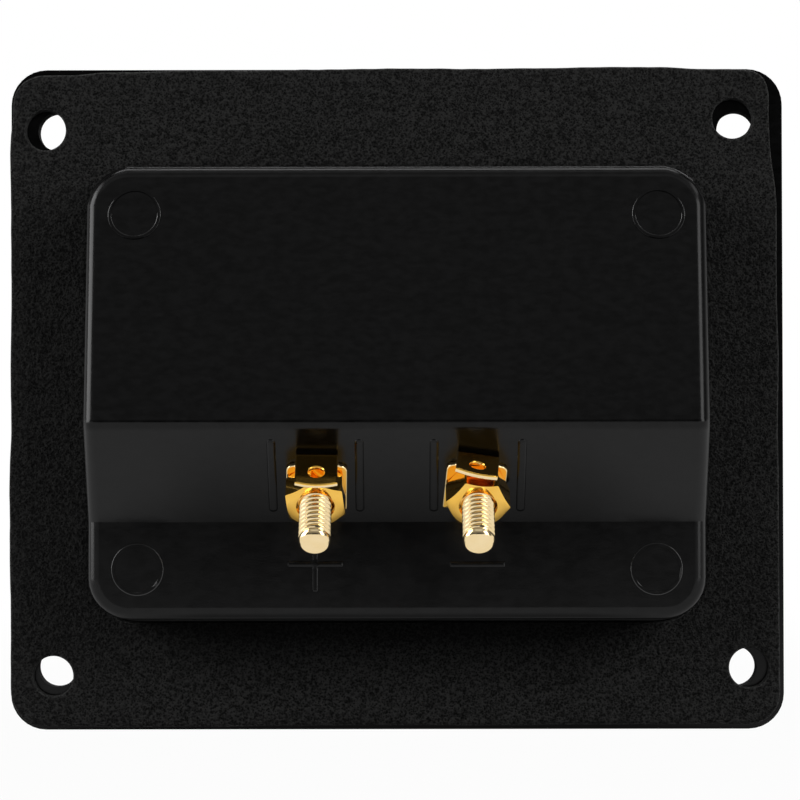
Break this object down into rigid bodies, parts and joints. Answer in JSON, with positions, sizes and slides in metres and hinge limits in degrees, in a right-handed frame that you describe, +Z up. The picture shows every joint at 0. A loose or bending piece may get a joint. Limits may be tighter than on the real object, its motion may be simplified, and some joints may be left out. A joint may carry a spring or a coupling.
{
  "type": "speaker terminal cup",
  "caption": "Recessed black plastic speaker terminal cup with a foam gasket, gold-plated binding posts with screw caps, and nuts and solder tabs at the back.",
  "frame": {"origin": "middle of the four screw holes, on the face of the flange that the gasket covers", "axes": "+X to the right as seen from inside the cabinet, +Y out of the front of the flange, +Z up"},
  "size_m": [0.1, 0.0322, 0.0856],
  "materials": {
    "moulded_black": "satin moulded",
    "foam": "matte foam",
    "gold_plate": "bright gold plate",
    "cap_red": "satin moulded",
    "cap_black": "satin moulded"
  },
  "bodies": {
    "housing": {"cup_housing": "moulded_black", "foam_gasket": "foam", "positive_post": "gold_plate", "positive_solder_tab": "gold_plate", "positive_nut": "gold_plate", "negative_post": "gold_plate", "negative_solder_tab": "gold_plate", "negative_nut": "gold_plate"},
    "positive_bush_body": {"positive_clamp_bush": "gold_plate"},
    "positive_cap_body": {"positive_cap": "cap_red"},
    "negative_bush_body": {"negative_clamp_bush": "gold_plate"},
    "negative_cap_body": {"negative_cap": "cap_black"}
  },
  "joints": [
    {"name": "positive_cap_lift", "type": "slide", "parent": "housing", "child": "positive_bush_body", "axis": [0, 0.7071, 0.7071], "range_m": [0, 0.004]},
    {"name": "positive_cap_turn", "type": "hinge", "parent": "positive_bush_body", "child": "positive_cap_body", "pos_m": [-0.01, -0.01993, -0.01077], "axis": [0, 0.7071, 0.7071], "range_deg": [0, 1800]},
    {"name": "negative_cap_lift", "type": "slide", "parent": "housing", "child": "negative_bush_body", "axis": [0, 0.7071, 0.7071], "range_m": [0, 0.004]},
    {"name": "negative_cap_turn", "type": "hinge", "parent": "negative_bush_body", "child": "negative_cap_body", "pos_m": [0.01, -0.01993, -0.01077], "axis": [0, 0.7071, 0.7071], "range_deg": [0, 1800]}
  ],
  "couplings": [
    {"joint": "positive_cap_turn", "follows": "positive_cap_lift", "rad_per_m": 7854},
    {"joint": "negative_cap_turn", "follows": "negative_cap_lift", "rad_per_m": 7854}
  ]
}
